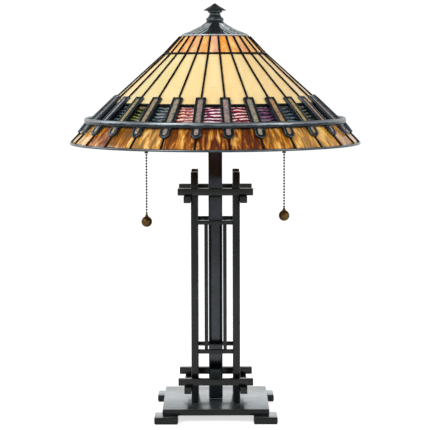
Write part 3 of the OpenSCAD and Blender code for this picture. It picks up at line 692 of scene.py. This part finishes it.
def stripPart(window, topAt):
    centre, half = (window[0] + window[1]) / 2, (window[1] - window[0]) / 2 - 0.1
    wide = window[2] / 2 - 0.1
    depth = batten["windowDepth"]
    shape = [
        loopAt(centre, half, wide, wide, lambda d: topAt(d) - depth - 0.4),
        loopAt(centre, half, wide, wide, lambda d: topAt(d) - depth * 0.72),
        loopAt(centre, half - 0.5, wide - 0.5, wide, lambda d: topAt(d) - depth * 0.46),
        loopAt(centre, half - 1.4, wide - 1.4, wide, lambda d: topAt(d) - depth * 0.3),
        loopAt(centre, half - 2.4, wide - 2.4, wide, lambda d: topAt(d) - depth * 0.24),
    ]
    return stackLoops(shape)


def slabPart(start, end, under, top):
    centre, half, wide = (start + end) / 2, (end - start) / 2, batten["width"] / 2
    edge = batten["edge"]
    return stackLoops([loopAt(centre, half, wide, 1.4, lambda d: under),
                       loopAt(centre, half, wide, 1.4, lambda d: top - edge),
                       loopAt(centre, half - edge * 0.4, wide - edge * 0.4, 1.2, lambda d: top - edge * 0.2),
                       loopAt(centre, half - edge, wide - edge, 1.0, lambda d: top)])


def studPart(down, across, foot):  # the small drop of solder at a tongue's shoulder
    loops = []
    for radius, height in ((1.3, foot), (1.3, foot + 0.6), (0.95, foot + 1.2), (0.4, foot + 1.5)):
        loops.append([(down + radius * math.cos(math.pi * k / 5), across + radius * math.sin(math.pi * k / 5),
                       height) for k in range(10)])
    return stackLoops(loops)


def blend(start, end, share):
    share = max(0, min(1, share))
    return start + (end - start) * share


tongueStart = hoopDown + 5.0


def bodyTop(down):
    return blend(batten["headLift"], batten["hoopLift"], (down + batten["lap"]) / (hoopDown + batten["lap"]))


def tongueTop(down):
    slopeStart = tongueStart + 2
    return blend(batten["tongueLift"], batten["tipLift"], (down - slopeStart) / (tipDown - slopeStart))


bodyWindow = (-batten["lap"] + 3.4, hoopDown + 1.0, batten["window"])
tongueWindow = (tongueStart + 1.4, tipDown - 5.4, batten["window"] - 1.4)
studAcross = batten["width"] / 2 - 0.9
bodyParts = [
    battenPart(-batten["lap"], rowLength(2) + 1.0, -shade["bandRecess"] + batten["seat"], bodyTop, bodyWindow),
    slabPart(rowLength(2) - 1.5, tongueStart + 1, batten["seat"], batten["hoopLift"] - 0.3),
    battenPart(tongueStart, tipDown, batten["seat"], tongueTop, tongueWindow, (tipDown - 5.0, tipDown, 0.26)),
    studPart(tongueStart + 1.6, studAcross, 4.6), studPart(tongueStart + 1.6, -studAcross, 4.6),
]
stripParts = [stripPart(bodyWindow, bodyTop), stripPart(tongueWindow, tongueTop)]


def joinParts(parts):
    verts, faces = [], []
    for partVerts, partFaces in parts:
        base = len(verts)
        verts += partVerts
        faces += [tuple(base + k for k in face) for face in partFaces]
    return verts, faces


def aroundTree():
    # copies a piece about the axis; each copy carries its own random tone
    tree, given, out = startTree("aroundTheShade", [
        ("Geometry", "NodeSocketGeometry", None), ("Count", "NodeSocketInt", 28),
        ("Start", "NodeSocketFloat", 0.0), ("Seed", "NodeSocketInt", 4),
        ("Material", "NodeSocketMaterial", None)])
    points = addNode(tree, "GeometryNodeMeshLine", {"Count": given["Count"], "Offset": (0, 0, 0)})
    index = addNode(tree, "GeometryNodeInputIndex").outputs[0]
    share = addNode(tree, "ShaderNodeMath", {0: 2 * math.pi, 1: given["Count"]}, operation="DIVIDE")
    turn = addNode(tree, "ShaderNodeMath", {0: index, 1: share.outputs[0]}, operation="MULTIPLY")
    angle = addNode(tree, "ShaderNodeMath", {0: turn.outputs[0], 1: given["Start"]}, operation="ADD")
    spin = addNode(tree, "ShaderNodeCombineXYZ", {"Z": angle.outputs[0]})
    copies = addNode(tree, "GeometryNodeInstanceOnPoints",
                     {"Points": points.outputs[0], "Instance": given["Geometry"], "Rotation": spin.outputs[0]})
    chance = addNode(tree, "FunctionNodeRandomValue", {"Seed": given["Seed"]}, data_type="FLOAT")
    toned = addNode(tree, "GeometryNodeStoreNamedAttribute",
                    {"Geometry": copies.outputs[0], "Name": "tone", "Value": chance.outputs[1]},
                    data_type="FLOAT", domain="INSTANCE")
    endTree(tree, out, toned.outputs[0], given["Material"])
    return tree


aroundTheShade = aroundTree()


def makeAround(name, parts, material, seed, slot, node):
    verts, faces = joinParts(parts)
    frameOfOne = (Matrix.Translation((edgeRadius(2), 0, edgeHeight(2)))
                  @ Matrix.Rotation(math.atan2(shade["drops"][2], shade["runs"][2]), 4, "Y"))
    piece = buildMesh(name, [frameOfOne @ Vector(v) for v in verts], faces, material)
    outwards(piece)
    bakeTree(piece, aroundTheShade, {"Count": shade["panels"], "Start": math.radians(shade["firstBatten"] - 90),
                                     "Seed": seed, "Material": material}, 34)
    settle(piece, "shade", slot, node)


makeAround("battenFrames", bodyParts, gunmetal, 4, "dark_bronze", "batten_frames")
makeAround("battenStrips", stripParts, stripGlass, 11, "strip_glass", "batten_glass")
print("battens are set round the shade")


# hoop and rim
hoop = dict(thick=4.6, high=9.0, turns=168)


def arcPoints(centre, radius, start, end, steps):
    return [(centre[0] + radius[0] * math.cos(math.radians(start + (end - start) * k / steps)),
             centre[1] + radius[1] * math.sin(math.radians(start + (end - start) * k / steps)))
            for k in range(steps + 1)]


def makeTurned(name, profile, turns, material, body, slot, node, shift=None, sharp=38):
    verts, faces = lathe(profile, turns, shift)
    piece = buildMesh(name, verts, faces, material, sharp)
    outwards(piece)
    settle(piece, body, slot, node)
    return piece


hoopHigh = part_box("gallery_hoop")[1].z / mm
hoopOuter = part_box("gallery_hoop")[1].x / mm
# the hoop's colour holds a painted highlight along its top and painted shade below
hoopFinish = paintedSheenFinish("hoopPaintedSheen", (hoopHigh - hoop["high"]) * mm, hoopHigh * mm, "2b3034", "767d82")
hoopMid = (hoopOuter - hoop["thick"] / 2, hoopHigh - hoop["high"] / 2)
hoopProfile = arcPoints(hoopMid, (hoop["thick"] / 2, hoop["high"] / 2), -90, 90, 10)
hoopProfile += arcPoints(hoopMid, (hoop["thick"] / 2 * 0.7, hoop["high"] / 2 * 0.96), 100, 260, 8)
makeTurned("galleryHoop", hoopProfile, hoop["turns"], hoopFinish, "shade", "dark_bronze", "gallery_hoop")

rim = dict(inner=5.6, turns=168)
rimLow, rimHigh = (corner.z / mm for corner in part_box("rim_band"))
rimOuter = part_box("rim_band")[1].x / mm
rimMid = (rimLow + rimHigh) / 2
rimTall = (rimHigh - rimLow) / 2 + 0.4
# the rim's colour holds a painted highlight along its top and painted shade below
rimFinish = paintedSheenFinish("rimPaintedSheen", rimLow * mm, (rimHigh + 0.8) * mm, "33393d", "6f767b")
rimProfile = arcPoints((rimOuter - 1.6, rimMid + 0.3), (1.8, rimTall), -90, 90, 8)
rimInner = rimOuter - rim["inner"]
rimProfile += [(rimInner + 0.6, rimHigh + 0.4), (rimInner, rimMid), (rimInner + 0.6, rimLow)]
makeTurned("rimBand", rimProfile, rim["turns"], rimFinish, "shade", "dark_bronze", "rim_band")
print("hoop and rim are rolled")


# cast cap and finial
cap = dict(neck=13, ribs=36, ribDepth=1.7, lean=12.6, scrollDepth=0.6, turns=336, levels=34)
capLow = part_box("vented_cap")[0].z / mm
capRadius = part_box("vented_cap")[1].x / mm - 0.1
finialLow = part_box("finial")[0].z / mm
capTop = finialLow - 0.1  # clear of the finial that turns on it


def curveBlend(a, b, c, t):
    return (1 - t) * (1 - t) * a + 2 * t * (1 - t) * b + t * t * c


def capLine(t):  # neck at 0, rim at 1
    rise = capTop - capLow - 1.6
    return (curveBlend(cap["neck"], cap["neck"] + 7, capRadius, t),
            capLow + 1.6 + rise * curveBlend(1, 0.53, 0, t))


def capRelief(angle, t):
    # the push outwards and the painted light on the metal: painted highlights on the ribs and scrolls, painted
    # shade between them; quarter runs from -0.5 to 0.5 about a scrolled panel
    quarter = (angle / (math.pi / 2) + 0.5) % 1 - 0.5
    panelHalf = 0.2 + 0.03 * (1 - t)
    inPanel = max(0, min(1, (panelHalf - abs(quarter)) / 0.02))
    fade = max(0, min(1, (t - 0.1) / 0.12)) * max(0, min(1, (0.985 - t) / 0.05))
    side = -1 if quarter > 0 else 1
    rib = math.sin(angle * cap["ribs"] + side * cap["lean"] * t)
    scroll = math.sin(quarter * 62 + 3.2 * math.sin(9 * t)) * math.sin(19 * t + 2.6 * math.cos(quarter * 40))
    shape = (1 - inPanel) * cap["ribDepth"] * (max(-0.2, rib) - 0.4) + inPanel * cap["scrollDepth"] * scroll
    paintedLight = (1 - inPanel) * (0.5 + 0.5 * rib) + inPanel * (0.16 + 0.12 * scroll)
    # away from the relief, a painted highlight near the rim and painted shade near the neck
    return fade * shape, fade * paintedLight + (1 - fade) * (0.8 if t > 0.5 else 0.3)


def ribbedFinish():  # painted shade in the grooves and painted highlights along the ribs
    material, tree, shader = startMaterial("ribbedCast", 0.36, 0.6)
    cloud = grain(tree, objectPlace(tree), 150, 4, 0.6)
    shown = calc(tree, "ADD", value(tree, "paintedLight"), span(tree, cloud, 0.3, 0.7, -0.12, 0.12))
    colour = ramp(tree, shown, [(0.12, "23282b"), (0.42, "343a3d"), (0.6, "9aa2a5"), (0.9, "d3d9dc")])
    finishMaterial(tree, shader, colour, None, grain(tree, objectPlace(tree), 420, 2), 0.0001, 0.5)
    return material


capLoops, capPaintedLight = [], []
for level in range(cap["levels"] + 1):
    t = level / cap["levels"]
    r, z = capLine(t)
    loop = []
    for i in range(cap["turns"]):
        angle = 2 * math.pi * i / cap["turns"]
        push, paintedLight = capRelief(angle + math.pi / 2, t)
        capPaintedLight.append(paintedLight)
        loop.append(((r + push * 0.5) * math.cos(angle), (r + push * 0.5) * math.sin(angle), z + push * 0.85))
    capLoops.append(loop)
lipLines = [(capRadius + 0.35, capLow + 1.3), (capRadius + 0.35, capLow + 0.5), (capRadius, capLow)]
insideLines = [(capRadius - 5.8, capLow), (capRadius - 7.5, capLow + 1.8), (34, capLow + 4.4),
               (20, capLow + 10), (13, capTop - 4), (3.4, capTop - 2.2), (3.4, capTop - 0.1),
               (cap["neck"] - 1, capTop)]
# the lip gets a painted highlight and the inside of the cap painted shade
for r, z in lipLines + insideLines:
    loop = [(r * math.cos(2 * math.pi * i / cap["turns"]), r * math.sin(2 * math.pi * i / cap["turns"]), z)
            for i in range(cap["turns"])]
    capLoops.append(loop)
    capPaintedLight += [0.8 if r > capRadius else 0.1] * cap["turns"]
capVerts, capFaces = stackLoops(capLoops, False, False)
last = (len(capLoops) - 1) * cap["turns"]
for i in range(cap["turns"]):
    k = (i + 1) % cap["turns"]
    capFaces.append((last + i, last + k, k, i))
castCap = buildMesh("castCap", capVerts, capFaces, ribbedFinish(), 70, {"paintedLight": capPaintedLight})
outwards(castCap)
settle(castCap, "crown", "dark_bronze", "vented_cap")

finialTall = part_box("finial")[1].z / mm - finialLow
finial = dict(turns=96, bore=3.3, boreDeep=12)
finialShape = [(13.0, 0), (13.6, 0.8), (13.9, 2.4), (13.6, 4.2), (12.6, 5.0), (11.4, 5.4), (11.2, 6.4),
               (10.0, 7.4), (9.2, 8.4), (9.6, 9.2), (8.6, 9.9), (8.4, 11.2), (8.8, 12.4), (9.8, 13.2),
               (11.6, 14.0), (11.9, 15.0), (11.7, 15.9), (14.6, 16.2), (17.4, 16.3), (17.8, 16.8),
               (17.2, 17.6), (12.5, 20.4), (8.0, 23.0), (4.0, 25.6), (1.6, 27.4), (0.5, 28.0), (0.02, 28.0)]
scaleTall = finialTall / finialShape[-1][1]
finialProfile = [(r, finialLow + z * scaleTall) for r, z in finialShape]
finialProfile += [(0.02, finialLow + finial["boreDeep"]), (finial["bore"], finialLow + finial["boreDeep"]),
                  (finial["bore"], finialLow + 0.02)]


def finialShift(angle, ring):  # faint cast bosses on the roof
    if 20 <= ring <= 23:
        return (0, 0.32 * math.sin(angle * 9 + ring * 1.7) * math.sin(angle * 4 + ring))
    return (0, 0)


makeTurned("castFinial", finialProfile, finial["turns"], castBronze, "finial", "dark_bronze", "finial",
           finialShift, 42)
print("cap and finial are cast")


# square bars of the stand
barNodes = [("latticePosts", "lattice_posts", 1.0, darkBronze), ("crossRails", "cross_rails", 1.0, darkBronze),
            ("sideRails", "side_rails", 1.0, darkBronze), ("innerBars", "inner_bars", 0.7, darkBronze),
            ("innerRods", "inner_rods", 0.7, darkBronze), ("columnTube", "column_tube", 2.2, columnBronze),
            ("basePlate", "base_plate", 1.3, plateBronze), ("baseFeet", "base_feet", 1.3, plateBronze)]


def islandBoxes(node):
    # the box of every separate solid in a CAD node, from a merged copy of its mesh
    work = bmesh.new()
    work.from_mesh(frame["nodes"][node].data)
    bmesh.ops.remove_doubles(work, verts=work.verts, dist=1e-6)
    left, boxes = set(work.verts), []
    while left:
        stack, seen = [left.pop()], []
        while stack:
            vert = stack.pop()
            seen.append(vert.co.copy())
            for edge in vert.link_edges:
                other = edge.other_vert(vert)
                if other in left:
                    left.remove(other)
                    stack.append(other)
        boxes.append([[f(c[k] for c in seen) / mm for k in range(3)] for f in (min, max)])
    work.free()
    return sorted(boxes)


def easedBlock(low, high, edge):
    # a block whose long edges and ends are all rounded over
    size = [high[k] - low[k] for k in range(3)]
    longest = max(range(3), key=lambda k: size[k])
    a, b = [k for k in range(3) if k != longest]
    middle = [(low[k] + high[k]) / 2 for k in range(3)]
    levels = [(0, edge), (edge * 0.3, edge * 0.3), (edge, 0), (size[longest] - edge, 0),
              (size[longest] - edge * 0.3, edge * 0.3), (size[longest], edge)]
    loops = []
    for along, inset in levels:
        loop = []
        for x, y in roundedRect(size[a] / 2 - inset, size[b] / 2 - inset, edge, 3):
            point = [0, 0, 0]
            point[a], point[b], point[longest] = middle[a] + x, middle[b] + y, low[longest] + along
            loop.append(tuple(point))
        loops.append(loop)
    return stackLoops(loops)


for name, node, edge, metal in barNodes:
    verts, faces = joinParts([easedBlock(low, high, edge) for low, high in islandBoxes(node)])
    piece = buildMesh(name, verts, faces, metal, 50)
    outwards(piece)
    settle(piece, "stand", "dark_bronze", node)
print("stand bars are eased")


# pull chains
chain = dict(beadRadius=1.7, pitch=4.6, wire=0.4, around=10, rings=7, ballRadius=8.7, neck=2.2)


def beadTree():
    tree, given, out = startTree("beadRun", [
        ("Geometry", "NodeSocketGeometry", None), ("Top", "NodeSocketVector", None),
        ("Count", "NodeSocketInt", 20),
        ("Pitch", "NodeSocketFloat", 0.0046), ("Bead Radius", "NodeSocketFloat", 0.0016),
        ("Wire Radius", "NodeSocketFloat", 0.0005), ("Wire Length", "NodeSocketFloat", 0.1),
        ("Material", "NodeSocketMaterial", None)])
    down = addNode(tree, "ShaderNodeMath", {0: given["Pitch"], 1: -1.0}, operation="MULTIPLY")
    step = addNode(tree, "ShaderNodeCombineXYZ", {"Z": down.outputs[0]})
    line = addNode(tree, "GeometryNodeMeshLine",
                   {"Count": given["Count"], "Start Location": given["Top"], "Offset": step.outputs[0]})
    bead = addNode(tree, "GeometryNodeMeshUVSphere",
                   {"Segments": chain["around"], "Rings": chain["rings"], "Radius": given["Bead Radius"]})
    beads = addNode(tree, "GeometryNodeInstanceOnPoints",
                    {"Points": line.outputs[0], "Instance": bead.outputs[0]})
    rod = addNode(tree, "GeometryNodeMeshCylinder",
                  {"Vertices": 8, "Radius": given["Wire Radius"], "Depth": given["Wire Length"]})
    half = addNode(tree, "ShaderNodeMath", {0: given["Wire Length"], 1: -0.5}, operation="MULTIPLY")
    centre = addNode(tree, "ShaderNodeCombineXYZ", {"Z": half.outputs[0]})
    spot = addNode(tree, "ShaderNodeVectorMath", {0: given["Top"], 1: centre.outputs[0]}, operation="ADD")
    wire = addNode(tree, "GeometryNodeTransform",
                   {"Geometry": rod.outputs[0], "Translation": spot.outputs[0]})
    both = addNode(tree, "GeometryNodeJoinGeometry")
    tree.links.new(beads.outputs[0], both.inputs[0])
    tree.links.new(wire.outputs[0], both.inputs[0])
    endTree(tree, out, both.outputs[0], given["Material"])
    return tree


beadRun = beadTree()


def makeBeads(name, node, body, neck, rounding):
    # beads from the top of a CAD chain down to its neck, on a wire that runs to its foot
    low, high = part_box(node)
    top = Vector(((low.x + high.x) / 2, (low.y + high.y) / 2, high.z - chain["beadRadius"] * mm))
    run = (high.z - low.z) / mm - neck
    piece = bpy.data.objects.new(name, bpy.data.meshes.new(name))
    bpy.context.scene.collection.objects.link(piece)
    bakeTree(piece, beadRun, {"Top": top, "Count": int(run / chain["pitch"] + rounding) + 1,
                              "Pitch": chain["pitch"] * mm, "Bead Radius": chain["beadRadius"] * mm,
                              "Wire Radius": chain["wire"] * mm, "Wire Length": top.z - low.z,
                              "Material": chainMetal}, 60)
    settle(piece, body, "brass", node)


def makeBall(name, node, body):
    low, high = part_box(node)
    x, top = (low.x + high.x) / 2 / mm, high.z / mm
    r, neck, bore = chain["ballRadius"], chain["neck"], chain["wire"] + 0.1
    z = low.z / mm + r
    meet = math.degrees(math.asin((neck + 0.5) / r))
    slices = [-90 + 180 * k / 22 for k in range(1, 20)]
    profile = [(0.02, z - r)] + [(r * math.cos(math.radians(a)), z + r * math.sin(math.radians(a)))
                                 for a in slices if a < 90 - meet]
    profile += [(neck + 0.9, z + r - 0.4), (neck + 0.9, z + r + 0.5), (neck, z + r + 1.0),
                (neck - 0.3, top - 1.2), (neck - 0.9, top), (bore, top), (bore, z), (0.02, z)]
    verts, faces = lathe(profile, 40)
    piece = buildMesh(name, [(v[0] + x, v[1], v[2]) for v in verts], faces, antiqueBrass, 50)
    outwards(piece)
    settle(piece, body, "brass", node)


for side in ("left", "right"):
    makeBeads(side + "Chain", side + "_bead_chain", side + "_chain", 2 * chain["beadRadius"] + 2.6, 0.5)
    makeBeads(side + "PullStub", side + "_pull_stub", side + "_pull", chain["beadRadius"], 0.35)
    makeBall(side + "Ball", side + "_chain_ball", side + "_chain")
print("pull chains are hung")


# finishes of the pieces kept from the frame
def bulbFinish():
    material, tree, shader = startMaterial("frostedBulb", 0.45, 0, 0.5, 0.2, 0.3)
    cloud = grain(tree, objectPlace(tree), 60, 3, 0.5)
    colour = ramp(tree, cloud, [(0.3, "f2efe4"), (0.7, "fbf8f0")])
    shader.inputs["Emission Strength"].default_value = 0.15
    tree.links.new(colour, shader.inputs["Emission Color"])
    finishMaterial(tree, shader, colour, None, grain(tree, objectPlace(tree), 2400, 2), 0.00003, 0.4)
    return material


frostedBulb = bulbFinish()
finishOf = {"rubber_pad": padRubber, "dark_bronze": darkBronze, "zinc_steel": zincSteel, "brass": agedBrass,
            "black_plastic": blackPlastic, "bulb_glass": frostedBulb, "solder": solderFinish}
for entry in frame["record"]["subparts"]:
    node = frame["nodes"][entry["node"]]
    if node.hide_render:
        continue
    node.data.materials.clear()
    small = entry["node"].startswith(("left", "right")) and entry["node"].endswith(("_coupling", "_bell"))
    node.data.materials.append(chainMetal if small else finishOf[entry["material_slot"]])


def makeFloor(s):
    work = bmesh.new()
    bmesh.ops.create_grid(work, x_segments=8, y_segments=8, size=6)
    mesh = bpy.data.meshes.new("studioFloor")
    work.to_mesh(mesh)
    work.free()
    floor = bpy.data.objects.new("studioFloor", mesh)
    bpy.context.scene.collection.objects.link(floor)
    material, tree, shader = startMaterial("paleFloor", 0.8)
    speck = grain(tree, objectPlace(tree), 30, 3)
    finishMaterial(tree, shader, ramp(tree, speck, [(0.3, s["floorTone"]), (0.7, "f7f7f6")]))
    shader.inputs["Emission Color"].default_value = tint("ffffff")
    shader.inputs["Emission Strength"].default_value = s["floorGlow"]
    mesh.materials.append(material)


makeFloor(studio)
print("finished")
